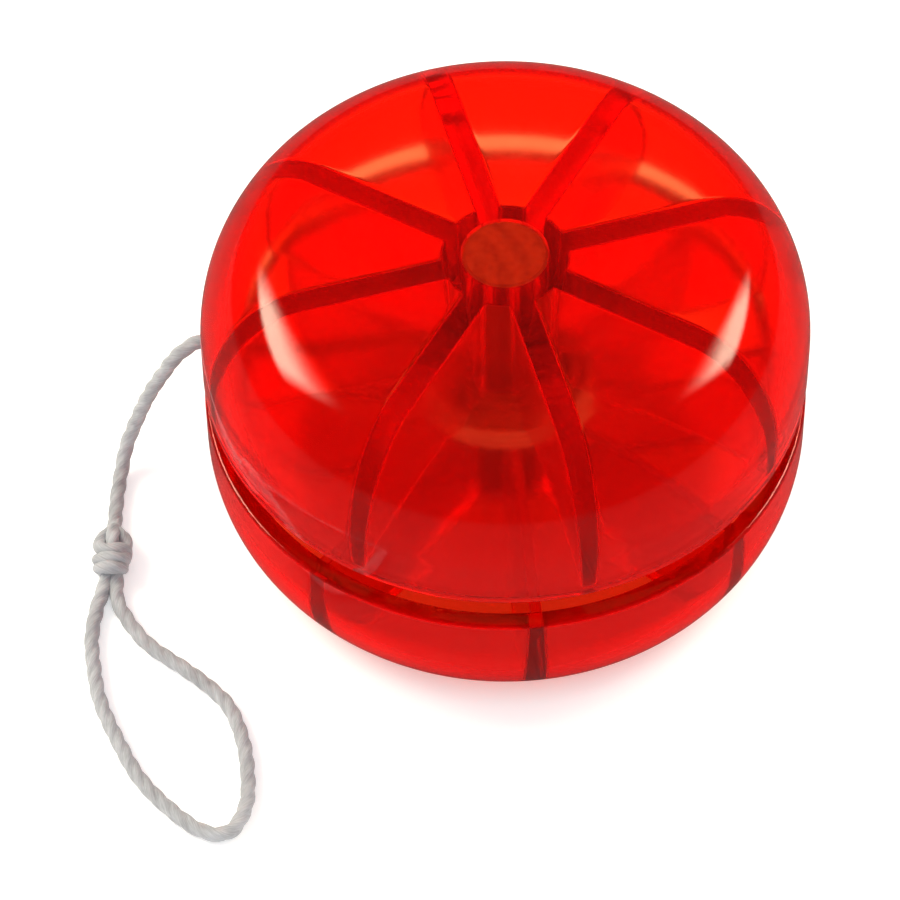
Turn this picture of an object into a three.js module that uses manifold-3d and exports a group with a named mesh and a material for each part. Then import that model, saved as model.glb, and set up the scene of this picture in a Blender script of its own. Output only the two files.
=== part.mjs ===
// A yo-yo: two moulded cups pressed on a wooden axle, with a twisted string wound between them.
// It lies on its lower crown. +Z runs along the axle, and the origin is the centre of that crown.
import * as THREE from "three";
import { mergeVertices } from "three/addons/utils/BufferGeometryUtils.js";
import Module from "manifold-3d";

const wasm = await Module();
wasm.setup();

// Driving dimensions, in millimetres unless a name says otherwise.
const DIAMETER = 58; // across the side walls
const WIDTH = 36; // from crown to crown
const RIM_GAP = 3.8; // string gap between the two rims
const HUB_GAP = 4.6; // string gap between the two bosses, and between the ribs' free edges
const CROWN_DIAMETER = 40; // the flat of each crown, inside its rounded shoulder
const SHOULDER_HEIGHT = 11.4; // from the crown down to where the side wall is straight
const WALL = 1.7; // side wall and shoulder
const CROWN_THICKNESS = 1;
const RIM_ROUNDING = 0.4; // on the outer edge of each rim
const RIB_COUNT = 8;
const RIB_THICKNESS_AT_CROWN = 2.2; // the ribs taper, so that the moulding leaves its tool
const RIB_THICKNESS_AT_EDGE = 1.1;
const UPPER_TURN_DEGREES = -6.5; // of the middle of a pocket between two ribs, from -Y
const LOWER_TURN_DEGREES = -16.5; // the halves are pressed on at slightly different angles
const AXLE_DIAMETER = 8;
const AXLE_CHAMFER = 0.5;
const AXLE_FIT = 0.15; // between the axle and its socket, on the radius
const AXLE_END_PLAY = 0.3; // between the axle's end and the bottom of its socket
const SOCKET_SKIN = 0.6; // plastic left over the axle's end
const BOSS_WALL_AT_CROWN = 1.75; // plastic round the socket, which tapers like the ribs
const BOSS_WALL_AT_EDGE = 1.05;
const CORD_DIAMETER = 1.25;
const CORD_CLEARANCE = 0.3; // between the string's solids, and from them to the halves and the axle
const WINDING_DIAMETER = 18.2; // wound string, across its outer turns
const WINDING_ROUNDING = 0.6; // on the winding's outer edges
const KNOT_LENGTH = 6.2;
const KNOT_WIDTH = 4;
const KNOT_HEIGHT = 3.2;

// Facets round each shape.
const FACETS_ROUND_HALF = 72;
const FACETS_ON_SHOULDER = 7;
const FACETS_ROUND_AXLE = 48;
const CORD_SIDES = 8;
const CORD_STEP = 3;

const middleHeight = WIDTH / 2;
const outerRadius = DIAMETER / 2;
const axleRadius = AXLE_DIAMETER / 2;
const socketRadius = axleRadius + AXLE_FIT;
const socketEnd = middleHeight - SOCKET_SKIN;
const lyingHeight = CORD_DIAMETER / 2 + 0.05; // middle of a cord that lies on the surface
const onRibsHeight = middleHeight - HUB_GAP / 2 + CORD_DIAMETER / 2 + CORD_CLEARANCE;
const overRimHeight = middleHeight - RIM_GAP / 2 + CORD_DIAMETER / 2 + CORD_CLEARANCE;

// The free string's route from the winding's lowest turn over the lower rim and down to the knot,
// and the finger loop's route round and back to the knot.
const TAIL_ROUTE = [
  [-7.1, 7.3, onRibsHeight],
  [-14.5, 6.1, onRibsHeight],
  [-22, 5.0, onRibsHeight + 0.2],
  [-26.6, 4.5, overRimHeight],
  [-29.5, 4.2, overRimHeight],
  [-31.5, 3.8, 15.6],
  [-33.2, 3.6, 12.6],
  [-34.8, 3.5, 9],
  [-36.1, 3.3, 5.4],
  [-37.1, 2.3, 2.6],
  [-37.7, 0.4, 1.1],
  [-38.1, -2.5, lyingHeight],
  [-38.3, -6.5, lyingHeight],
];
const LOOP_ROUTE = [
  [-39.2, -13.5],
  [-39.8, -16.2],
  [-40, -19.7],
  [-39.6, -23.2],
  [-38.9, -26.7],
  [-37, -31.5],
  [-34.7, -35.8],
  [-31.7, -39.2],
  [-28.8, -41.4],
  [-26.8, -42.1],
  [-25.2, -41.7],
  [-24.2, -40.2],
  [-23.7, -38],
  [-23.8, -34.7],
  [-24.4, -31.3],
  [-25.9, -27.3],
  [-27.9, -25],
  [-30.4, -23.2],
  [-34.4, -20.3],
  [-36.1, -17.8],
  [-37.3, -15.2],
  [-37.6, -13.6],
].map(([x, y]) => [x, y, lyingHeight]);
const KNOT_PLACE = [-38.4, -9.95, KNOT_HEIGHT / 2];

// three.js geometry as a manifold-3d solid, and a solid as geometry again.
function solid(geometry) {
  geometry.deleteAttribute("normal");
  geometry.deleteAttribute("uv");
  const merged = mergeVertices(geometry, 1e-4);
  return new wasm.Manifold(
    new wasm.Mesh({
      numProp: 3,
      vertProperties: merged.attributes.position.array,
      triVerts: new Uint32Array(merged.index.array),
    }),
  );
}

function geometryOf(body) {
  const { vertProperties, triVerts } = body.getMesh();
  const geometry = new THREE.BufferGeometry();
  geometry.setAttribute("position", new THREE.BufferAttribute(vertProperties, 3));
  geometry.setIndex(new THREE.BufferAttribute(triVerts, 1));
  const facets = geometry.toNonIndexed();
  facets.computeVertexNormals();
  return facets;
}

// A solid of revolution about Z. The profile's points are [radius, height], upwards on the outside.
function turned(profile, facets) {
  const points = profile.map(([radius, height]) => new THREE.Vector2(radius, height));
  return new THREE.LatheGeometry(points, facets).rotateX(Math.PI / 2);
}

function cylinder(radius, bottom, top, facets) {
  return turned([[0, bottom], [radius, bottom], [radius, top], [0, top]], facets);
}

// Points on a quarter ellipse, from its side up to its top.
function quarterEllipse(centreRadius, centreHeight, across, up, steps) {
  return Array.from({ length: steps + 1 }, (_, i) => {
    const angle = ((Math.PI / 2) * i) / steps;
    return [centreRadius + across * Math.cos(angle), centreHeight + up * Math.sin(angle)];
  });
}

// The cup's space out to a surface that lies the given distances inside its outer one, down to
// the given height. Heights are from the middle of the string gap.
function domeProfile(insideWall, insideCrown, bottom) {
  const crownRadius = CROWN_DIAMETER / 2;
  const shoulder = quarterEllipse(
    crownRadius,
    middleHeight - SHOULDER_HEIGHT,
    outerRadius - crownRadius - insideWall,
    SHOULDER_HEIGHT - insideCrown,
    FACETS_ON_SHOULDER,
  );
  return [[0, bottom], [outerRadius - insideWall, bottom], ...shoulder, [0, middleHeight - insideCrown]];
}

function outerDome() {
  const rim = RIM_GAP / 2;
  const [centre, , ...rest] = domeProfile(0, 0, rim);
  return [centre, [outerRadius - RIM_ROUNDING, rim], [outerRadius, rim + RIM_ROUNDING], ...rest];
}

// One plate across the whole cup makes two opposite ribs. It tapers from the crown to its free edge.
function ribPlate(angle) {
  const bottom = HUB_GAP / 2;
  const top = middleHeight - CROWN_THICKNESS / 2;
  const [atEdge, atCrown] = [RIB_THICKNESS_AT_EDGE / 2, RIB_THICKNESS_AT_CROWN / 2];
  const section = new THREE.Shape([
    new THREE.Vector2(-atEdge, bottom),
    new THREE.Vector2(atEdge, bottom),
    new THREE.Vector2(atCrown, top),
    new THREE.Vector2(-atCrown, top),
  ]);
  return new THREE.ExtrudeGeometry(section, { depth: DIAMETER, bevelEnabled: false, steps: 1 })
    .translate(0, 0, -outerRadius)
    .rotateX(Math.PI / 2)
    .rotateZ(angle);
}

function boss() {
  const bottom = HUB_GAP / 2;
  const top = middleHeight - CROWN_THICKNESS / 2;
  const [atEdge, atCrown] = [socketRadius + BOSS_WALL_AT_EDGE, socketRadius + BOSS_WALL_AT_CROWN];
  return turned([[0, bottom], [atEdge, bottom], [atCrown, top], [0, top]], FACETS_ROUND_AXLE);
}

// One half, crown up, with the middle of the string gap at height 0 and a pocket's middle at -Y.
function mouldedHalf() {
  const cavity = solid(turned(domeProfile(WALL, CROWN_THICKNESS, 0), FACETS_ROUND_HALF));
  const shell = solid(turned(outerDome(), FACETS_ROUND_HALF)).subtract(cavity);
  const insideWalls = domeProfile(WALL / 2, CROWN_THICKNESS / 2, 0);
  const insideWallsSolid = solid(turned(insideWalls, FACETS_ROUND_HALF));
  const pitch = (2 * Math.PI) / RIB_COUNT;
  let core = solid(boss());
  for (let i = 0; i < RIB_COUNT / 2; i++)
    core = core.add(solid(ribPlate((i + 0.5) * pitch)).intersect(insideWallsSolid));
  const socket = solid(cylinder(socketRadius, 0, socketEnd, FACETS_ROUND_AXLE));
  return geometryOf(shell.add(core).subtract(socket));
}

function axle() {
  const end = socketEnd - AXLE_END_PLAY;
  return turned(
    [
      [0, -end],
      [axleRadius - AXLE_CHAMFER, -end],
      [axleRadius, AXLE_CHAMFER - end],
      [axleRadius, end - AXLE_CHAMFER],
      [axleRadius - AXLE_CHAMFER, end],
      [0, end],
    ],
    FACETS_ROUND_AXLE,
  );
}

function stringWinding() {
  const halfWidth = HUB_GAP / 2 - CORD_CLEARANCE;
  const inner = axleRadius + CORD_CLEARANCE;
  const outer = WINDING_DIAMETER / 2;
  return turned(
    [
      [inner, -halfWidth],
      [outer - WINDING_ROUNDING, -halfWidth],
      [outer, WINDING_ROUNDING - halfWidth],
      [outer, halfWidth - WINDING_ROUNDING],
      [outer - WINDING_ROUNDING, halfWidth],
      [inner, halfWidth],
      [inner, -halfWidth],
    ],
    FACETS_ROUND_AXLE,
  );
}

function cordAlong(route) {
  const path = new THREE.CatmullRomCurve3(route.map((point) => new THREE.Vector3(...point)));
  const corner = (i) => {
    const angle = (2 * Math.PI * (i + 0.5)) / CORD_SIDES;
    return new THREE.Vector2(Math.cos(angle), Math.sin(angle)).multiplyScalar(CORD_DIAMETER / 2);
  };
  const section = new THREE.Shape(Array.from({ length: CORD_SIDES }, (_, i) => corner(i)));
  const steps = Math.round(path.getLength() / CORD_STEP);
  return new THREE.ExtrudeGeometry(section, { steps, extrudePath: path, bevelEnabled: false });
}

function fingerKnot() {
  return new THREE.SphereGeometry(0.5, 20, 12).scale(KNOT_WIDTH, KNOT_LENGTH, KNOT_HEIGHT);
}

const clearRedPlastic = { color: 0xdc0e04, roughness: 0.05, metalness: 0 };
const birch = { color: 0xc9a26b, roughness: 0.6, metalness: 0 };
const cotton = { color: 0xd8d4ca, roughness: 0.9, metalness: 0 };

function piece(name, geometry, look) {
  const mesh = new THREE.Mesh(geometry, new THREE.MeshStandardMaterial(look));
  mesh.name = name;
  return mesh;
}

const yoyo = new THREE.Group();
const aroundGap = new THREE.Group();
aroundGap.position.z = middleHeight;
yoyo.add(aroundGap);

const upperHalf = piece("upper_half", mouldedHalf(), clearRedPlastic);
upperHalf.rotation.z = THREE.MathUtils.degToRad(UPPER_TURN_DEGREES);
const lowerHalf = piece("lower_half", mouldedHalf(), clearRedPlastic);
lowerHalf.rotation.set(0, Math.PI, THREE.MathUtils.degToRad(LOWER_TURN_DEGREES), "ZYX");
aroundGap.add(upperHalf, lowerHalf);
aroundGap.add(piece("axle", axle(), birch));
aroundGap.add(piece("string_winding", stringWinding(), cotton));

yoyo.add(piece("string_tail", cordAlong(TAIL_ROUTE), cotton));
const knot = piece("finger_knot", fingerKnot(), cotton);
knot.position.set(...KNOT_PLACE);
yoyo.add(knot);
yoyo.add(piece("finger_loop", cordAlong(LOOP_ROUTE), cotton));

export default yoyo;
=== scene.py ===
import math

import bmesh
import bpy
import numpy as np
from mathutils import Matrix, Vector


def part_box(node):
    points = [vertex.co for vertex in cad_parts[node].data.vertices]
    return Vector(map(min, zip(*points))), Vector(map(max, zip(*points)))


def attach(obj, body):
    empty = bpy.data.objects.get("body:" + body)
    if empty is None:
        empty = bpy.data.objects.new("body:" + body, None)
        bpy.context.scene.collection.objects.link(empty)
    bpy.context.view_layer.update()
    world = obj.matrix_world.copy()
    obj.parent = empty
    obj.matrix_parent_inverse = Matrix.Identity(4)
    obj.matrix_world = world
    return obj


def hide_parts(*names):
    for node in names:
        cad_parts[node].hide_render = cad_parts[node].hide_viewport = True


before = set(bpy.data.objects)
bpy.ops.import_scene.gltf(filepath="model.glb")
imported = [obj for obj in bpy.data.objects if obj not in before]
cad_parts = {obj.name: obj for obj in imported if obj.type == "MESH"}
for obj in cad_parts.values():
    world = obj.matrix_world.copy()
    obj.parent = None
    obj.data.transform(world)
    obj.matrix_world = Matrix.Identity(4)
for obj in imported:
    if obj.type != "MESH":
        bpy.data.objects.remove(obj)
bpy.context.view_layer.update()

# ------------------------------------------------------------------------------------------------
# The camera: a long lens half a metre away, above and in front of the toy, looking down on its
# crown, with the horizon leaning by one degree.
CAMERA_PLACE = Vector((0.0, -0.28979, 0.39417))
CAMERA_AIM = Vector((-0.005506, 0.003650, 0.0))
CAMERA_LEAN = math.radians(-0.95)
FOCAL_LENGTH = 197.44  # millimetres, on a 36 mm sensor

camera = bpy.data.objects.new("camera", bpy.data.cameras.new("camera"))
bpy.context.scene.collection.objects.link(camera)
camera.data.lens = FOCAL_LENGTH
camera.data.sensor_width = 36.0
camera.data.clip_start = 0.01
looking = (CAMERA_AIM - CAMERA_PLACE).to_track_quat("-Z", "Y").to_matrix()
leaning = looking @ Matrix.Rotation(CAMERA_LEAN, 3, "Z")
camera.matrix_world = Matrix.Translation(CAMERA_PLACE) @ leaning.to_4x4()
bpy.context.scene.camera = camera

# ------------------------------------------------------------------------------------------------
# The string: one length of three-ply cotton twine. It is wound on the axle between the two bosses
# in four layers and left hanging out over the lower rim, down to the table.
CORD_DIAMETER = 0.00125
FREE_SIZE = 1.2  # of the free twine against the wound one
FREED_FROM = 0.0095  # from the axle's middle, where the twine begins to grow to that size
FREED_AT = 0.0175  # and where it has it
PLY_OFFSET = 0.00020  # of a ply's centre from the twine's own
PLY_RADIUS = CORD_DIAMETER / 2 - PLY_OFFSET
TWIST_PITCH = 0.0060  # one full turn of the three plies
CORD_SIDES = 21
RING_SPACING = 0.00030
LAYERS = 4
TURNS = 3  # side by side in each layer
TURN_SPACING = 0.001375  # between neighbouring turns, along the axle
FIRST_LAYER_RADIUS = 0.00467
STEP_ARC = 45  # degrees in which a turn moves over to its next place
LEAVES_AT = 99.6  # degrees, where the outermost turn leaves for the rim
MIDDLE_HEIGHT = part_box("upper_half")[1].z / 2
PAINTED_LIGHT_TO = 0.010  # from the axle's middle, and nearer than this the cotton is painted lighter: painted light against the shade between the bosses
PAINTED_LIGHT_ENDS_AT = 0.020  # and from here on it keeps its own grey
TAIL_ROUTE = [
    (-0.0071, 0.0073, 0.016625),
    (-0.0145, 0.0061, 0.016625),
    (-0.0220, 0.0050, 0.016825),
    (-0.0266, 0.0045, 0.017025),
    (-0.0295, 0.0042, 0.017025),
    (-0.0316, 0.0038, 0.0156),
    (-0.0334, 0.0036, 0.0126),
    (-0.0351, 0.0035, 0.0090),
    (-0.0364, 0.0033, 0.0054),
    (-0.0375, 0.0023, 0.0026),
    (-0.0380, 0.0004, 0.0011),
    (-0.0383, -0.0025, 0.00077),
    (-0.0384, -0.0058, 0.00077),
    (-0.0384, -0.0074, 0.0012),
]


def linear(hex_colour):
    """A linear colour from an sRGB hex value."""
    parts = [int(hex_colour[i : i + 2], 16) / 255 for i in (0, 2, 4)]
    return [c / 12.92 if c <= 0.04045 else ((c + 0.055) / 1.055) ** 2.4 for c in parts] + [1.0]


def add(tree, kind, settings=None, **links):
    """A node with its settings and inputs. Each input is a value or another node's output, and is
    called by its name with _ for a space, or by i and its number."""
    node = tree.nodes.new(kind)
    for name, value in (settings or {}).items():
        setattr(node, name, value)
    for name, value in links.items():
        numbered = name[0] == "i" and name[1:].isdigit()
        socket = node.inputs[int(name[1:]) if numbered else name.replace("_", " ")]
        if isinstance(value, bpy.types.NodeSocket):
            tree.links.new(value, socket)
        else:
            socket.default_value = value
    return node


def two_colours(tree, shade, low, dark, high, light):
    """A colour that runs between two sRGB hex values as the shade goes from low to high."""
    ramp = add(tree, "ShaderNodeValToRGB", Fac=shade)
    for element, place, colour in zip(ramp.color_ramp.elements, (low, high), (dark, light)):
        element.position = place
        element.color = linear(colour)
    return ramp.outputs["Color"]


def new_material(name):
    material = bpy.data.materials.new(name)
    material.use_nodes = True
    material.node_tree.nodes.clear()
    return material, material.node_tree


def line_length(line):
    return float(np.linalg.norm(np.diff(line, axis=0), axis=1).sum())


def smooth_line(points, spacing):
    """Points an even distance apart on a centripetal Catmull-Rom curve through the given ones."""
    p = np.array(points, float)
    p = np.vstack([2 * p[0] - p[1], p, 2 * p[-1] - p[-2]])
    fine = []
    for a, b, c, d in zip(p, p[1:], p[2:], p[3:]):
        t1 = np.sqrt(np.linalg.norm(b - a))
        t2 = t1 + np.sqrt(np.linalg.norm(c - b))
        t3 = t2 + np.sqrt(np.linalg.norm(d - c))
        for t in np.linspace(t1, t2, 9)[:-1]:
            ab = a + (b - a) * t / t1
            bc = b + (c - b) * (t - t1) / (t2 - t1)
            cd = c + (d - c) * (t - t2) / (t3 - t2)
            abc = ab + (bc - ab) * t / t2
            bcd = bc + (cd - bc) * (t - t1) / (t3 - t1)
            fine.append(abc + (bcd - abc) * (t - t1) / (t2 - t1))
    fine = np.array(fine + [p[-2]])
    steps = np.linalg.norm(np.diff(fine, axis=0), axis=1)
    along = np.concatenate([[0], np.cumsum(steps)])
    even = np.linspace(0, along[-1], max(2, round(along[-1] / spacing) + 1))
    return np.column_stack([np.interp(even, along, fine[:, i]) for i in range(3)])


def ply_radius(angle):
    """The twine's radius at an angle from one of its plies' centres."""
    third = 2 * math.pi / 3
    off = (angle + third / 2) % third - third / 2
    return PLY_OFFSET * np.cos(off) + np.sqrt(PLY_RADIUS**2 - (PLY_OFFSET * np.sin(off)) ** 2)


def twisted_cord(name, lines, size):
    """Three plies twisted round each other along each line of evenly spaced points. The size is one
    factor, or one for each point. The UV is in millimetres, round a ply and along the twine."""
    angles = np.arange(CORD_SIDES) * 2 * math.pi / CORD_SIDES
    around = math.pi * CORD_DIAMETER / CORD_SIDES
    vertices, faces, uv = [], [], []
    for line in lines:
        spacing = line_length(line) / (len(line) - 1)
        twist = 2 * math.pi * spacing / TWIST_PITCH
        tangents = np.gradient(line, axis=0)
        tangents /= np.linalg.norm(tangents, axis=1)[:, None]
        side = np.cross(tangents[0], (0.31, 0.17, 1.0))
        start = len(vertices)
        sizes = np.broadcast_to(size, len(line))
        for i, (centre, tangent) in enumerate(zip(line, tangents)):
            side = side - tangent * side.dot(tangent)
            side /= np.linalg.norm(side)
            other = np.cross(tangent, side)
            outward = np.cos(angles)[:, None] * side + np.sin(angles)[:, None] * other
            radius = sizes[i] * ply_radius(angles - twist * i)[:, None]
            vertices += (centre + radius * outward).tolist()
        first = len(vertices)
        vertices += [line[0].tolist(), line[-1].tolist()]
        for i in range(len(line) - 1):
            ring = start + i * CORD_SIDES
            for j in range(CORD_SIDES):
                k = (j + 1) % CORD_SIDES
                faces.append((ring + j, ring + k, ring + CORD_SIDES + k, ring + CORD_SIDES + j))
                for u, v in ((j, i), (j + 1, i), (j + 1, i + 1), (j, i + 1)):
                    uv += [1000 * (u * around - v * twist * CORD_DIAMETER / 2), 1000 * v * spacing]
        ring = first - CORD_SIDES
        for j in range(CORD_SIDES):
            k = (j + 1) % CORD_SIDES
            faces += [(first, start + k, start + j), (first + 1, ring + j, ring + k)]
            uv += [0.0] * 12
    mesh = bpy.data.meshes.new(name)
    mesh.from_pydata(vertices, [], faces)
    mesh.uv_layers.new(name="along_cord").data.foreach_set("uv", uv)
    mesh.shade_smooth()
    piece = bpy.data.objects.new(name, mesh)
    bpy.context.scene.collection.objects.link(piece)
    return piece


def twisted_cotton():
    """Cotton twine, bleached: short soft fibres laid along the plies, matt, grey in the grooves. The
    turns on the axle are painted lighter, painted light against the shade between the bosses, and
    the free twine keeps its own grey."""
    material, tree = new_material("twisted_cotton_twine")
    place = add(tree, "ShaderNodeTexCoord").outputs
    along = add(tree, "ShaderNodeMapping", Vector=place["UV"], Rotation=(0, 0, 0.35), Scale=(9, 0.9, 1))
    fibres = add(
        tree,
        "ShaderNodeTexNoise",
        Vector=along.outputs[0],
        Scale=1.0,
        Detail=4.0,
        Roughness=0.65,
    ).outputs["Fac"]
    slubs = add(tree, "ShaderNodeTexNoise", Vector=place["Object"], Scale=420.0, Detail=2.0)
    shade = add(
        tree,
        "ShaderNodeMath",
        {"operation": "MULTIPLY_ADD"},
        i0=slubs.outputs["Fac"],
        i1=0.45,
        i2=fibres,
    ).outputs[0]
    # painted light: the wound turns near the axle get the lighter colour, against the shade between the
    # bosses; the free twine gets its own grey
    free_colour = two_colours(tree, shade, 0.42, "86878b", 0.95, "c2c3c8")
    painted_lit_colour = two_colours(tree, shade, 0.30, "d8d6d2", 0.95, "fbfaf7")
    multiply = {"operation": "MULTIPLY"}
    flat = add(tree, "ShaderNodeVectorMath", multiply, i0=place["Object"], i1=(1, 1, 0)).outputs[0]
    reach = add(tree, "ShaderNodeVectorMath", {"operation": "LENGTH"}, i0=flat).outputs["Value"]
    share = add(tree, "ShaderNodeMapRange", Value=reach, i1=PAINTED_LIGHT_TO, i2=PAINTED_LIGHT_ENDS_AT).outputs[0]
    mixed = add(tree, "ShaderNodeMix", {"data_type": "RGBA"}, Factor=share, i6=painted_lit_colour, i7=free_colour)
    colour = mixed.outputs[2]
    bump = add(tree, "ShaderNodeBump", Strength=0.7, Distance=0.00014, Height=fibres).outputs[0]
    shader = add(tree, "ShaderNodeBsdfPrincipled", Base_Color=colour, Roughness=0.85, Normal=bump)
    shader.inputs["Sheen Weight"].default_value = 0.3
    shader.inputs["Sheen Roughness"].default_value = 0.5
    shader.inputs["Specular IOR Level"].default_value = 0.25
    add(tree, "ShaderNodeOutputMaterial", Surface=shader.outputs[0])
    return material


def wound_turns():
    """Points on the turns, which lie side by side in layers, each going back over the last."""
    points = []

    def arc(start, end, radius, rise, offset, shift):
        steps = max(1, round((end - start) / 15))
        for i in range(steps):
            share = i / steps
            soft = share * share * (3 - 2 * share)
            turn = math.radians(start + (end - start) * share)
            reach = radius + rise * soft
            height = MIDDLE_HEIGHT + offset + shift * soft
            points.append((reach * math.cos(turn), reach * math.sin(turn), height))

    angle = 2 * STEP_ARC
    for layer in range(LAYERS):
        side = 1 if layer % 2 else -1
        radius = FIRST_LAYER_RADIUS + layer * CORD_DIAMETER
        for turn in range(TURNS):
            offset = side * ((TURNS - 1) / 2 - turn) * TURN_SPACING
            layer_done = turn == TURNS - 1
            last = layer_done and layer == LAYERS - 1
            moves_at = LEAVES_AT if last else -90 * layer + (0 if layer_done else STEP_ARC)
            end = angle + 1 + (moves_at - angle - 1) % 360
            arc(angle, end + (1 if last else 0), radius, 0.0, offset, 0.0)
            if not layer_done:
                arc(end, end + STEP_ARC, radius, 0.0, offset, -side * TURN_SPACING)
            elif not last:
                arc(end, end + STEP_ARC, radius, CORD_DIAMETER, offset, 0.0)
            angle = end + STEP_ARC
    return points


cotton = twisted_cotton()
string_line = smooth_line(wound_turns() + TAIL_ROUTE, RING_SPACING)
reach = np.linalg.norm(string_line[:, :2], axis=1)
string_size = np.interp(reach, (FREED_FROM, FREED_AT), (1.0, FREE_SIZE))
wound_string = twisted_cord("wound_string", [string_line], string_size)
wound_string.data.materials.append(cotton)

# ------------------------------------------------------------------------------------------------
# The finger loop: the twine goes on out of the knot, round and back into it, lying on the table.
LYING_HEIGHT = 0.00077  # of the twine's middle
LOOP_ROUTE = [
    (-0.0391, -0.0135),
    (-0.0397, -0.0162),
    (-0.0400, -0.0197),
    (-0.0396, -0.0232),
    (-0.0389, -0.0267),
    (-0.0369, -0.0315),
    (-0.0346, -0.0358),
    (-0.0316, -0.0392),
    (-0.0290, -0.0413),
    (-0.0272, -0.0419),
    (-0.0258, -0.0415),
    (-0.0249, -0.0400),
    (-0.0244, -0.0380),
    (-0.0245, -0.0347),
    (-0.0250, -0.0315),
    (-0.0265, -0.0275),
    (-0.0284, -0.0253),
    (-0.0307, -0.0233),
    (-0.0345, -0.0203),
    (-0.0364, -0.0178),
    (-0.0377, -0.0152),
    (-0.0379, -0.0133),
]
LOOP_START = (-0.0388, -0.0118, 0.0011)  # both ends are inside the knot
LOOP_END = (-0.0380, -0.0118, 0.0011)
lying = [(x, y, LYING_HEIGHT) for x, y in LOOP_ROUTE]
loop_points = [LOOP_START] + lying + [LOOP_END]
loop_line = smooth_line(loop_points, RING_SPACING / 2)
loop_twine = twisted_cord("loop_twine", [loop_line], FREE_SIZE)
loop_twine.data.materials.append(cotton)

# ------------------------------------------------------------------------------------------------
# The knot: an overhand knot drawn tight in the doubled twine, which closes the finger loop. Its
# strands are pressed a little thinner than the free twine.
KNOT_MIDDLE = np.array((-0.0384, -0.00995, 0.0016))
KNOT_STRAND_SIZE = 1.15
KNOT_STRANDS = [  # millimetres from the knot's middle
    [  # the twine from the toy, straight through
        (0.0, 3.45, -0.7),
        (0.0, 2.7, -0.3),
        (0.0, 1.9, 0.2),
        (0.0, 0.5, 0.3),
        (0.0, -1.0, 0.0),
        (-0.1, -2.2, -0.4),
    ],
    [  # over the top and down in front, between the two bulges
        (0.05, 2.9, -0.1),
        (0.05, 2.2, 0.6),
        (0.05, 1.3, 0.95),
        (0.1, 0.4, 0.95),
        (0.1, -0.3, 0.6),
    ],
    [  # the left bulge, then the first wrap
        (-0.3, 2.3, 0.1),
        (-0.85, 1.7, 0.3),
        (-1.2, 0.8, 0.3),
        (-1.05, 0.0, 0.75),
        (-0.3, -0.4, 1.05),
        (0.6, -0.35, 1.0),
        (1.2, 0.0, 0.4),
        (1.1, 0.2, -0.5),
        (0.0, 0.0, -0.8),
    ],
    [  # the right bulge
        (0.35, 2.3, 0.1),
        (0.9, 1.7, 0.35),
        (1.3, 0.8, 0.3),
        (1.3, -0.1, 0.1),
        (1.1, -1.0, 0.0),
        (0.5, -1.6, -0.2),
    ],
    [  # the second wrap
        (1.2, -0.6, -0.3),
        (1.2, -1.0, 0.4),
        (0.5, -1.35, 0.95),
        (-0.4, -1.35, 0.95),
        (-1.2, -1.1, 0.4),
        (-1.2, -1.0, -0.4),
        (0.0, -1.0, -0.8),
    ],
    [  # the third wrap
        (1.0, -1.5, -0.4),
        (1.0, -1.95, 0.2),
        (0.4, -2.2, 0.65),
        (-0.5, -2.2, 0.65),
        (-1.1, -1.95, 0.2),
        (-1.0, -1.8, -0.5),
        (0.0, -1.7, -0.8),
    ],
]
knot_lines = [
    smooth_line(KNOT_MIDDLE + np.array(strand) / 1000, RING_SPACING / 2) for strand in KNOT_STRANDS
]
knot_twine = twisted_cord("knot_twine", knot_lines, KNOT_STRAND_SIZE)
knot_twine.data.materials.append(cotton)

for piece in (wound_string, loop_twine, knot_twine):
    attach(piece, "string")
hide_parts("string_winding", "string_tail")
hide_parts("finger_loop")
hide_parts("finger_knot")

# ------------------------------------------------------------------------------------------------
# The two halves: one injection moulding of clear red acrylic each, open towards the string, with
# eight ribs from the hub to the side wall. They are pressed on the axle at slightly different angles.
RIM_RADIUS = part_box("upper_half")[1].x
HALF_WIDTH = MIDDLE_HEIGHT
RIM_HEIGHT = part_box("upper_half")[0].z - HALF_WIDTH  # heights are from the middle of the gap
EDGE_HEIGHT = 0.0023  # of the ribs' and the boss's free edges
CROWN_RADIUS = 0.020
SHOULDER = 0.0114
WALL = 0.0017
CROWN_THICKNESS = 0.0010
CEILING = HALF_WIDTH - CROWN_THICKNESS
SHOULDER_START = HALF_WIDTH - SHOULDER
RIB_COUNT = 8
HALF_PITCH = math.pi / RIB_COUNT
RIB_AT_EDGE = 0.0011  # the ribs and the boss taper, so that the moulding leaves its tool
RIB_AT_CROWN = 0.0022
BOSS_AT_EDGE = 0.0052
BOSS_AT_CROWN = 0.0059
SOCKET_RADIUS = 0.00415
SOCKET_END = 0.0174
RIM_ROUNDING = 0.0004
EDGE_ROUNDING = 0.0001
ROOT_ROUNDING = 0.0003
WELDING = 2e-6  # points closer than this become one
SHARP_FROM = math.radians(40)
WALL_STEPS = 32  # along half a pocket's wall
RIB_STEPS = 14  # along a rib's side
SHOULDER_STEPS = 36
POLISHED = 0.03  # roughness outside
CORE_SIDE_ROUGHNESS = 0.13  # and inside the cup
HAZE = 0.06  # share of light that the plastic scatters at its surface
UPPER_TURN = math.radians(-90 - 6.5)
LOWER_TURN = math.radians(-90 - 16.5)


def bend(x, y, radius, start, end, steps):
    """Points on an arc, without its last one."""
    turns = [start + (end - start) * i / steps for i in range(steps)]
    return [(x + radius * math.cos(t), y + radius * math.sin(t)) for t in turns]


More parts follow.
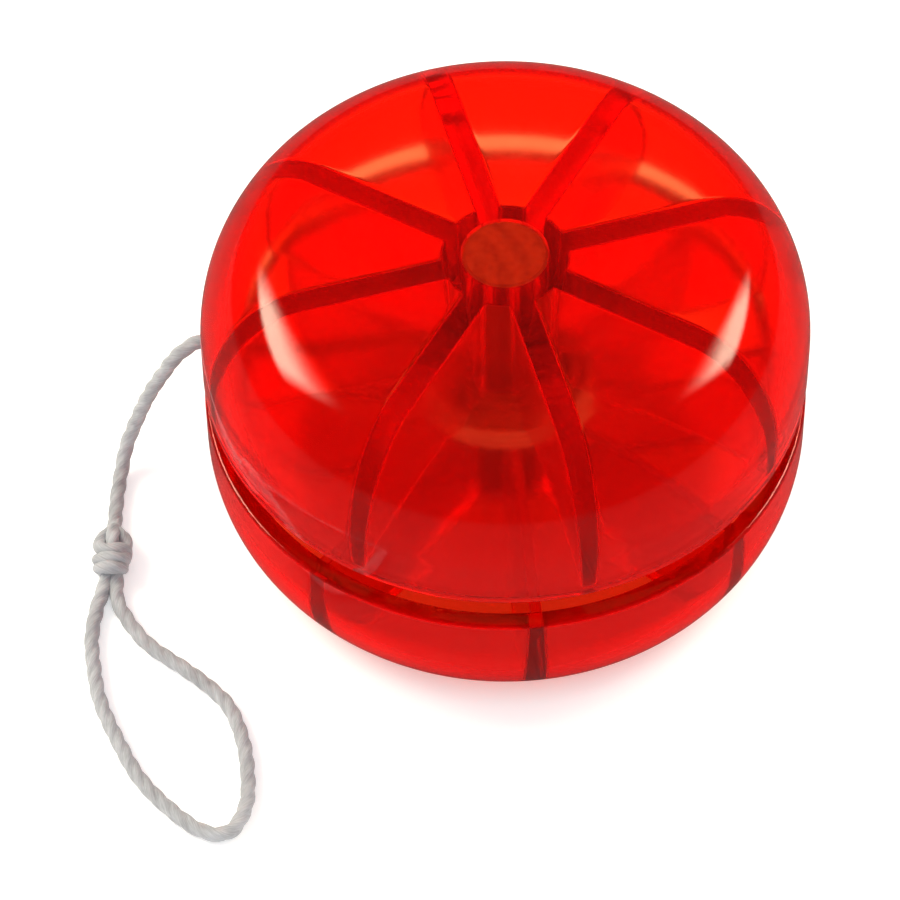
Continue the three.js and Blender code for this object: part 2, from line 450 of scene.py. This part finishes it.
def pocket_outline(wall_radius, half_rib, boss_radius):
    """The outline of the space between two ribs at one height, round +x, from the wall's middle."""
    r = ROOT_ROUNDING
    at_wall = math.sqrt((wall_radius - r) ** 2 - (half_rib + r) ** 2)
    at_boss = math.sqrt((boss_radius + r) ** 2 - (half_rib + r) ** 2)
    wall_turn = math.atan2(half_rib + r, at_wall)
    boss_turn = math.atan2(half_rib + r, at_boss)
    side = [(at_wall + (at_boss - at_wall) * i / RIB_STEPS, half_rib) for i in range(1, RIB_STEPS)]
    half = bend(0, 0, wall_radius, HALF_PITCH, wall_turn, WALL_STEPS)
    half += bend(at_wall, half_rib + r, r, wall_turn, -math.pi / 2, 5) + [(at_wall, half_rib)] + side
    half += bend(at_boss, half_rib + r, r, -math.pi / 2, boss_turn - math.pi, 5)
    half += bend(0, 0, boss_radius, boss_turn, HALF_PITCH, 4)
    half.append((boss_radius * math.cos(HALF_PITCH), boss_radius * math.sin(HALF_PITCH)))
    turned = [
        (
            x * math.cos(HALF_PITCH) + y * math.sin(HALF_PITCH),
            y * math.cos(HALF_PITCH) - x * math.sin(HALF_PITCH),
        )
        for x, y in half
    ]
    return turned + [(x, -y) for x, y in turned[-2:0:-1]]


def outline_at(height, inset=0.0):
    """A pocket's outline at a height, with the taper, the shoulder and the root's rounding in it."""
    up = max(0.0, (height - SHOULDER_START) / (CEILING - SHOULDER_START))
    across = RIM_RADIUS - WALL - CROWN_RADIUS
    wall_radius = CROWN_RADIUS + across * math.sqrt(max(0.0, 1 - up**2))
    share = (height - EDGE_HEIGHT) / (HALF_WIDTH - CROWN_THICKNESS / 2 - EDGE_HEIGHT)
    half_rib = (RIB_AT_EDGE + (RIB_AT_CROWN - RIB_AT_EDGE) * share) / 2
    boss_radius = BOSS_AT_EDGE + (BOSS_AT_CROWN - BOSS_AT_EDGE) * share
    root = max(0.0, height - CEILING + ROOT_ROUNDING)
    inset += ROOT_ROUNDING - math.sqrt(max(0.0, ROOT_ROUNDING**2 - root**2))
    return pocket_outline(wall_radius, half_rib + inset, boss_radius + inset)


def outer_profile():
    """Radii and heights from the crown's middle over the shoulder and round the rim into the cup."""
    across = RIM_RADIUS - CROWN_RADIUS
    profile = [(r, HALF_WIDTH) for r in (0.0001, 0.004, 0.010, 0.016, 0.0195)]
    for i in range(SHOULDER_STEPS + 1):
        turn = math.pi / 2 * (1 - i / SHOULDER_STEPS)
        height = SHOULDER_START + SHOULDER * math.sin(turn)
        profile.append((CROWN_RADIUS + across * math.cos(turn), height))
    profile.append((RIM_RADIUS, RIM_HEIGHT + 0.0022))
    for turn in np.linspace(0, math.pi / 2, 6):
        height = RIM_HEIGHT + RIM_ROUNDING * (1 - math.sin(turn))
        profile.append((RIM_RADIUS - RIM_ROUNDING * (1 - math.cos(turn)), height))
    for turn in np.linspace(0, math.pi / 2, 4):
        radius = RIM_RADIUS - WALL + EDGE_ROUNDING * (1 - math.sin(turn))
        profile.append((radius, RIM_HEIGHT + EDGE_ROUNDING * (1 - math.cos(turn))))
    return profile + [(RIM_RADIUS - WALL, EDGE_HEIGHT)]


def wedge(name, side):
    """One eighth of a half, from the middle of one rib to the middle of the next, round +x. Faces
    made by the tool's core, inside the cup, carry 1 in the attribute core_side."""
    opening = outline_at(EDGE_HEIGHT, -EDGE_ROUNDING)
    count = len(opening)
    boss_middle = count // 2
    on_wall = [math.atan2(y, x) for x, y in opening[: WALL_STEPS + 1]]
    turns = on_wall + list(np.linspace(on_wall[-1], -HALF_PITCH, 4)[1:])
    turns = turns[::-1] + [-turn for turn in turns[1:]]
    middle = len(turns) // 2
    vertices, faces = [], []

    def points(places):
        start = len(vertices)
        vertices.extend(places)
        return list(range(start, len(vertices)))

    def ring(radius, height):
        return points([(radius * math.cos(t), radius * math.sin(t), height) for t in turns])

    def strip(a, b):
        faces.extend((a[i], b[i], b[i + 1], a[i + 1]) for i in range(len(a) - 1))

    def cap(edge, height):
        centre = points([(0, 0, height)])[0]
        faces.extend((centre, edge[i], edge[i + 1]) for i in range(len(edge) - 1))

    rings = [ring(radius, height) for radius, height in outer_profile()]
    for a, b in zip(rings, rings[1:]):
        strip(a, b)
    cap(rings[0], HALF_WIDTH)
    rim = rings[-1]
    outside = len(faces)

    wall_ids = [rim[middle - k] for k in range(WALL_STEPS + 1)]
    free = opening[WALL_STEPS + 1 : count - WALL_STEPS]
    free_ids = points([(x, y, EDGE_HEIGHT) for x, y in free])
    mouth = wall_ids + free_ids + [rim[middle + k] for k in range(WALL_STEPS, 0, -1)]
    slices = [mouth]
    for turn in (30, 60, 90):
        lift = EDGE_ROUNDING * math.sin(math.radians(turn))
        inset = EDGE_ROUNDING * (math.sin(math.radians(turn)) - 1)
        height = EDGE_HEIGHT + lift
        slices.append(points([(x, y, height) for x, y in outline_at(height, inset)]))
    heights = [(EDGE_HEIGHT + SHOULDER_START) / 2]
    for i in range(SHOULDER_STEPS + 1):
        lift = math.sin(math.pi / 2 * i / SHOULDER_STEPS)
        heights.append(SHOULDER_START + (CEILING - SHOULDER_START) * lift)
    for height in heights:
        slices.append(points([(x, y, height) for x, y in outline_at(height)]))
    inward = ROOT_ROUNDING + 0.0003  # a narrow band of faces inside the ceiling's edge
    margin = pocket_outline(CROWN_RADIUS - 0.0005, RIB_AT_CROWN / 2 + inward, BOSS_AT_CROWN + inward)
    slices.append(points([(x, y, CEILING) for x, y in margin]))
    for a, b in zip(slices, slices[1:]):
        strip(a + a[:1], b + b[:1])
    faces.append(tuple(slices[-1]))

    socket = ring(SOCKET_RADIUS, EDGE_HEIGHT)
    socket_top = ring(SOCKET_RADIUS, SOCKET_END)
    socket_margin = ring(SOCKET_RADIUS - 0.0006, SOCKET_END)
    strip(socket, socket_top)
    strip(socket_top, socket_margin)
    cap(socket_margin, SOCKET_END)
    backwards = mouth[:1] + mouth[:0:-1]
    for rim_ids, mouth_ids, socket_ids in (
        (rim, mouth, socket),
        (rim[::-1], backwards, socket[::-1]),
    ):
        edge = rim_ids[: middle - WALL_STEPS + 1] + mouth_ids[WALL_STEPS + 1 : boss_middle + 1]
        faces.append(tuple(edge + socket_ids[middle::-1]))

    mesh = bpy.data.meshes.new(name)
    mesh.from_pydata([(x, y, HALF_WIDTH + side * z) for x, y, z in vertices], [], faces)
    core_side = mesh.attributes.new("core_side", "FLOAT", "FACE")
    core_side.data.foreach_set("value", [float(i >= outside) for i in range(len(faces))])
    return mesh


def ring_of_wedges():
    """Geometry nodes that set one wedge round the axle as often as there are ribs, and weld them."""
    tree = bpy.data.node_groups.new("wedges round the axle", "GeometryNodeTree")
    sockets = tree.interface
    sockets.new_socket("Wedge", in_out="INPUT", socket_type="NodeSocketGeometry")
    sockets.new_socket("Count", in_out="INPUT", socket_type="NodeSocketInt")
    sockets.new_socket("First angle", in_out="INPUT", socket_type="NodeSocketFloat")
    sockets.new_socket("Material", in_out="INPUT", socket_type="NodeSocketMaterial")
    sockets.new_socket("Half", in_out="OUTPUT", socket_type="NodeSocketGeometry")
    given = tree.nodes.new("NodeGroupInput").outputs
    places = add(tree, "GeometryNodePoints", Count=given["Count"]).outputs[0]
    index = add(tree, "GeometryNodeInputIndex").outputs[0]
    pitch = add(
        tree, "ShaderNodeMath", {"operation": "DIVIDE"}, i0=2 * math.pi, i1=given["Count"]
    ).outputs[0]
    angle = add(
        tree,
        "ShaderNodeMath",
        {"operation": "MULTIPLY_ADD"},
        i0=index,
        i1=pitch,
        i2=given["First angle"],
    ).outputs[0]
    turn = add(tree, "ShaderNodeCombineXYZ", Z=angle).outputs[0]
    copies = add(
        tree, "GeometryNodeInstanceOnPoints", Points=places, Instance=given["Wedge"], Rotation=turn
    ).outputs[0]
    plain = add(tree, "GeometryNodeRealizeInstances", Geometry=copies).outputs[0]
    welded = add(tree, "GeometryNodeMergeByDistance", Geometry=plain, Distance=WELDING).outputs[0]
    finished = add(
        tree, "GeometryNodeSetMaterial", Geometry=welded, Material=given["Material"]
    ).outputs[0]
    add(tree, "NodeGroupOutput", Half=finished)
    return tree


def clear_red_acrylic():
    """Acrylic dyed right through: it bends and reflects light like glass, and its red deepens with
    the thickness that light goes through. It is a little hazy, and the core's side came off a less
    polished tool."""
    material, tree = new_material("moulded_clear_red_acrylic")
    place = add(tree, "ShaderNodeTexCoord").outputs["Object"]
    core = add(tree, "ShaderNodeAttribute", {"attribute_name": "core_side"}).outputs["Fac"]
    wear = add(tree, "ShaderNodeTexNoise", Vector=place, Scale=260.0, Detail=3.0, Roughness=0.6)
    base = add(tree, "ShaderNodeMapRange", Value=core, i3=POLISHED, i4=CORE_SIDE_ROUGHNESS).outputs[0]
    rough = add(
        tree,
        "ShaderNodeMath",
        {"operation": "MULTIPLY_ADD"},
        i0=wear.outputs["Fac"],
        i1=0.05,
        i2=base,
    ).outputs[0]
    flow = add(tree, "ShaderNodeTexNoise", Vector=place, Scale=90.0, Detail=1.0).outputs["Fac"]
    bump = add(tree, "ShaderNodeBump", Strength=0.05, Distance=0.0002, Height=flow).outputs[0]
    shader = add(tree, "ShaderNodeBsdfPrincipled", Roughness=rough, Normal=bump)
    shader.inputs["Base Color"].default_value = (1, 1, 1, 1)
    shader.inputs["IOR"].default_value = 1.49
    shader.inputs["Transmission Weight"].default_value = 1.0
    dye = add(tree, "ShaderNodeVolumeAbsorption")
    dye.inputs["Color"].default_value = (0.997, 0.37, 0.0, 1)
    dye.inputs["Density"].default_value = 2600.0
    haze = add(tree, "ShaderNodeBsdfDiffuse", Color=linear("e01000"))
    hazy = add(tree, "ShaderNodeMixShader", i0=HAZE, i1=shader.outputs[0], i2=haze.outputs[0])
    add(tree, "ShaderNodeOutputMaterial", Surface=hazy.outputs[0], Volume=dye.outputs[0])
    return material


def plain_mesh(built, name):
    """The evaluated object's mesh as a piece of its own; the builder and its modifiers go."""
    depsgraph = bpy.context.evaluated_depsgraph_get()
    mesh = bpy.data.meshes.new_from_object(built.evaluated_get(depsgraph), depsgraph=depsgraph)
    bpy.data.objects.remove(built)
    mesh.name = name
    piece = bpy.data.objects.new(name, mesh)
    bpy.context.scene.collection.objects.link(piece)
    return piece


def moulded_half(name, side, first_angle):
    built = bpy.data.objects.new(name + "_builder", wedge(name + "_wedge", side))
    bpy.context.scene.collection.objects.link(built)
    modifier = built.modifiers.new("wedges", "NODES")
    modifier.node_group = wedges
    inputs = {s.name: s.identifier for s in wedges.interface.items_tree if s.in_out == "INPUT"}
    modifier[inputs["Count"]] = RIB_COUNT
    modifier[inputs["First angle"]] = first_angle
    modifier[inputs["Material"]] = red_acrylic
    rough_piece = plain_mesh(built, name + "_welded")
    work = bmesh.new()
    work.from_mesh(rough_piece.data)
    bmesh.ops.remove_doubles(work, verts=work.verts, dist=WELDING)
    bmesh.ops.recalc_face_normals(work, faces=work.faces)
    work.to_mesh(rough_piece.data)
    work.free()
    rough_piece.data.shade_smooth()
    rough_piece.data.set_sharp_from_angle(angle=SHARP_FROM)
    weighting = rough_piece.modifiers.new("flat faces keep their normals", "WEIGHTED_NORMAL")
    weighting.keep_sharp = True
    return plain_mesh(rough_piece, name)


red_acrylic = clear_red_acrylic()
wedges = ring_of_wedges()
upper = moulded_half("clear_upper_half", 1, UPPER_TURN)
lower = moulded_half("clear_lower_half", -1, LOWER_TURN)
for piece, node in ((upper, "upper_half"), (lower, "lower_half")):
    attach(piece, "yo_yo")
    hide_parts(node)

# ------------------------------------------------------------------------------------------------
# The axle: a birch dowel, turned, sawn off and pressed into the sockets of both halves until its
# ends almost touch the plastic. Its upper end shows through the crown.
DOWEL_RADIUS = 0.0040
DOWEL_END = 0.01738  # from the middle of the gap
DOWEL_CHAMFER = 0.00025
DOWEL_FACETS = 96


def turned_piece(name, profile, facets):
    """A closed solid of revolution about the axle. The profile runs upwards, from axis to axis."""
    vertices, faces = [], []
    for radius, height in profile[1:-1]:
        for i in range(facets):
            turn = 2 * math.pi * i / facets
            vertices.append((radius * math.cos(turn), radius * math.sin(turn), height))
    rings = len(profile) - 2
    for i in range(rings - 1):
        for j in range(facets):
            k = (j + 1) % facets
            a, b = i * facets, (i + 1) * facets
            faces.append((a + j, a + k, b + k, b + j))
    bottom, top = len(vertices), len(vertices) + 1
    vertices += [(0, 0, profile[0][1]), (0, 0, profile[-1][1])]
    last = (rings - 1) * facets
    for j in range(facets):
        k = (j + 1) % facets
        faces += [(bottom, k, j), (top, last + j, last + k)]
    mesh = bpy.data.meshes.new(name)
    mesh.from_pydata(vertices, [], faces)
    mesh.shade_smooth()
    mesh.set_sharp_from_angle(angle=math.radians(30))
    piece = bpy.data.objects.new(name, mesh)
    bpy.context.scene.collection.objects.link(piece)
    return piece


def turned_birch():
    """Birch, turned, sawn off and stained reddish brown, with fine pores along the grain and faint
    growth rings."""
    material, tree = new_material("turned_stained_birch")
    place = add(tree, "ShaderNodeTexCoord").outputs["Object"]
    grain_place = add(tree, "ShaderNodeMapping", Vector=place, Scale=(1400, 1400, 60)).outputs[0]
    grain = add(tree, "ShaderNodeTexNoise", Vector=grain_place, Scale=1.0, Detail=4.0).outputs["Fac"]
    off_centre = add(tree, "ShaderNodeMapping", Vector=place, Location=(0.009, 0.004, 0)).outputs[0]
    growth = add(
        tree,
        "ShaderNodeTexWave",
        {"wave_type": "RINGS", "rings_direction": "Z"},
        Vector=off_centre,
        Scale=140.0,
        Distortion=1.5,
    ).outputs["Fac"]
    shade = add(
        tree, "ShaderNodeMath", {"operation": "MULTIPLY_ADD"}, i0=growth, i1=0.25, i2=grain
    ).outputs[0]
    colour = two_colours(tree, shade, 0.35, "a85c3a", 0.85, "cc7a4e")
    bump = add(tree, "ShaderNodeBump", Strength=0.4, Distance=0.0001, Height=grain).outputs[0]
    shader = add(tree, "ShaderNodeBsdfPrincipled", Base_Color=colour, Roughness=0.65, Normal=bump)
    add(tree, "ShaderNodeOutputMaterial", Surface=shader.outputs[0])
    return material


inner = DOWEL_RADIUS - DOWEL_CHAMFER
straight = DOWEL_END - DOWEL_CHAMFER
upwards = [(DOWEL_RADIUS, straight), (inner, DOWEL_END), (inner - 0.0003, DOWEL_END), (0, DOWEL_END)]
downwards = [(radius, -height) for radius, height in upwards[::-1]]
dowel_profile = [(radius, HALF_WIDTH + height) for radius, height in downwards + upwards]
dowel = turned_piece("birch_dowel", dowel_profile, DOWEL_FACETS)
dowel.data.materials.append(turned_birch())
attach(dowel, "yo_yo")
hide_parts("axle")

# ------------------------------------------------------------------------------------------------
# The table and the light: a sheet of card with painted light, which glows all over and a little
# more under the toy, red there as painted light through the toy; a bright room that the crown hardly
# mirrors, and a warm softbox on either side, a little behind the toy.
FLOOR_SIZE = 3.0
floor_mesh = bpy.data.meshes.new("floor")
corners = [(-FLOOR_SIZE, -FLOOR_SIZE), (FLOOR_SIZE, -FLOOR_SIZE), (FLOOR_SIZE, FLOOR_SIZE)]
corners.append((-FLOOR_SIZE, FLOOR_SIZE))
floor_mesh.from_pydata([(x / 2, y / 2, -0.00002) for x, y in corners], [], [(0, 1, 2, 3)])
floor = bpy.data.objects.new("floor", floor_mesh)
bpy.context.scene.collection.objects.link(floor)


def mirrored_only(tree):
    """1 for light that the plastic mirrors, 0 for light that reaches the eye in any other way."""
    kinds = add(tree, "ShaderNodeLightPath").outputs
    return add(
        tree,
        "ShaderNodeMath",
        {"operation": "SUBTRACT", "use_clamp": True},
        i0=kinds["Is Glossy Ray"],
        i1=kinds["Is Transmission Ray"],
    ).outputs[0]


# The card's glow is painted light, from no lamp: a pool of it under the toy, weaker round it.
GLOW_RADIUS = 0.026  # the glow falls off from here
GLOW_END = 0.050  # to here
GLOW = 0.42  # strength of the painted light under the toy
GLOW_OUTSIDE = 0.3  # and round it
PAINTED_RED_RADIUS = 0.022  # the painted red light, which stands in for light through the toy, reaches up to here
PAINTED_RED_END = 0.027
MIRROR_LOSS = 0.93  # share of the card that is shown as painted dark grey in the plastic's reflections


def glowing_card():
    """Matt white card with a faint tooth. It glows, which is painted light: more under the toy, and
    red where light through the toy would fall, a painted pool of red light. The plastic mirrors it
    weakly, as a painted dark reflection, as if it were smaller than the table."""
    material, tree = new_material("matt_white_card")
    place = add(tree, "ShaderNodeTexCoord").outputs["Object"]
    tooth = add(tree, "ShaderNodeTexNoise", Vector=place, Scale=900.0, Detail=2.0).outputs["Fac"]
    colour = two_colours(tree, tooth, 0.0, "f4f4f4", 1.0, "f8f8f8")
    away = add(tree, "ShaderNodeVectorMath", {"operation": "LENGTH"}, i0=place).outputs["Value"]
    glow = add(
        tree,
        "ShaderNodeMapRange",
        {"interpolation_type": "SMOOTHSTEP"},
        Value=away,
        i1=GLOW_RADIUS,
        i2=GLOW_END,
        i3=GLOW,
        i4=GLOW_OUTSIDE,
    ).outputs[0]
    shader = add(
        tree, "ShaderNodeBsdfPrincipled", Base_Color=colour, Roughness=0.9, Emission_Strength=glow
    )
    shader.inputs["Specular IOR Level"].default_value = 0.1
    # painted light: a pool of red light painted on the card under the toy, for light through the toy
    painted_red_light = add(tree, "ShaderNodeMapRange", Value=away, i1=PAINTED_RED_RADIUS, i2=PAINTED_RED_END).outputs[0]
    painted_light_colour = two_colours(tree, painted_red_light, 0.0, "ff8468", 1.0, "ffffff")
    tree.links.new(painted_light_colour, shader.inputs["Emission Color"])
    # painted reflection: in the plastic's reflections the card is shown as this dark grey
    dark = add(tree, "ShaderNodeBsdfDiffuse", Color=linear("403c3c"))
    mirrored = mirrored_only(tree)
    multiply = {"operation": "MULTIPLY"}
    share = add(tree, "ShaderNodeMath", multiply, i0=mirrored, i1=MIRROR_LOSS).outputs[0]
    mixed = add(tree, "ShaderNodeMixShader", i0=share, i1=shader.outputs[0], i2=dark.outputs[0])
    add(tree, "ShaderNodeOutputMaterial", Surface=mixed.outputs[0])
    return material


floor.data.materials.append(glowing_card())

ROOM_MIRRORED = 0.04  # share of the room's light that the plastic mirrors
world = bpy.data.worlds.new("studio")
bpy.context.scene.world = world
world.use_nodes = True
sky = world.node_tree
sky.nodes.clear()
direction = add(sky, "ShaderNodeTexCoord").outputs["Generated"]
height = add(sky, "ShaderNodeSeparateXYZ", Vector=direction).outputs["Z"]
room = add(
    sky,
    "ShaderNodeMapRange",
    {"interpolation_type": "SMOOTHSTEP"},
    Value=height,
    i1=0.1,
    i2=0.6,
    i3=1.0,
    i4=0.9,
).outputs[0]
mirrored = mirrored_only(sky)
dimmed = add(sky, "ShaderNodeMapRange", Value=mirrored, i3=1.0, i4=ROOM_MIRRORED).outputs[0]
strength = add(sky, "ShaderNodeMath", {"operation": "MULTIPLY"}, i0=room, i1=dimmed).outputs[0]
background = add(sky, "ShaderNodeBackground", Color=(1, 1, 1, 1), Strength=strength)
add(sky, "ShaderNodeOutputWorld", Surface=background.outputs[0])


LAMP_DISTANCE = 0.8


def softbox(name, azimuth, low, high, width, colour, radiance, core):
    """A rectangular lamp that faces the toy, between two elevations. The azimuth goes from +Y
    towards +X. It is fully bright from half its core up to its core, which is a share of its height,
    and fades to all four edges."""
    turn, up = math.radians(azimuth), math.radians((low + high) / 2)
    along = math.cos(up)
    place = LAMP_DISTANCE * Vector((math.sin(turn) * along, math.cos(turn) * along, math.sin(up)))
    data = bpy.data.lights.new(name, "AREA")
    data.shape = "RECTANGLE"
    data.size = width
    data.size_y = 2 * LAMP_DISTANCE * math.tan(math.radians((high - low) / 2))
    data.color = colour
    data.energy = radiance * data.size * data.size_y * math.pi
    data.use_nodes = True
    tree = data.node_tree
    tree.nodes.clear()
    parts = add(tree, "ShaderNodeNewGeometry").outputs["Parametric"]
    u, v = add(tree, "ShaderNodeSeparateXYZ", Vector=parts).outputs[:2]
    smooth = {"interpolation_type": "SMOOTHSTEP"}
    left = add(tree, "ShaderNodeMapRange", smooth, Value=u, i1=0.0, i2=0.3).outputs[0]
    right = add(tree, "ShaderNodeMapRange", smooth, Value=u, i1=1.0, i2=0.7).outputs[0]
    foot = add(tree, "ShaderNodeMapRange", smooth, Value=v, i1=0.0, i2=core / 2).outputs[0]
    head = add(tree, "ShaderNodeMapRange", smooth, Value=v, i1=1.0, i2=core).outputs[0]
    head = add(tree, "ShaderNodeMath", {"operation": "POWER"}, i0=head, i1=2.0).outputs[0]
    fade = left
    for part in (right, foot, head):
        fade = add(tree, "ShaderNodeMath", {"operation": "MULTIPLY"}, i0=fade, i1=part).outputs[0]
    glow = add(tree, "ShaderNodeEmission", Color=(1, 1, 1, 1), Strength=fade)
    add(tree, "ShaderNodeOutputLight", Surface=glow.outputs[0])
    lamp = bpy.data.objects.new(name, data)
    bpy.context.scene.collection.objects.link(lamp)
    facing = (-place).to_track_quat("-Z", "Y").to_matrix().to_4x4()
    lamp.matrix_world = Matrix.Translation(place) @ facing


softbox("left_softbox", -68, 31, 64, 0.56, (1.0, 0.91, 0.68), 15.0, 0.35)
softbox("right_softbox", 65, 34, 62, 0.46, (1.0, 0.90, 0.66), 14.0, 0.4)

scene = bpy.context.scene
scene.view_settings.view_transform = "Standard"
scene.cycles.max_bounces = 40
scene.cycles.transmission_bounces = 40
scene.cycles.glossy_bounces = 32
scene.cycles.diffuse_bounces = 4
scene.cycles.transparent_max_bounces = 12
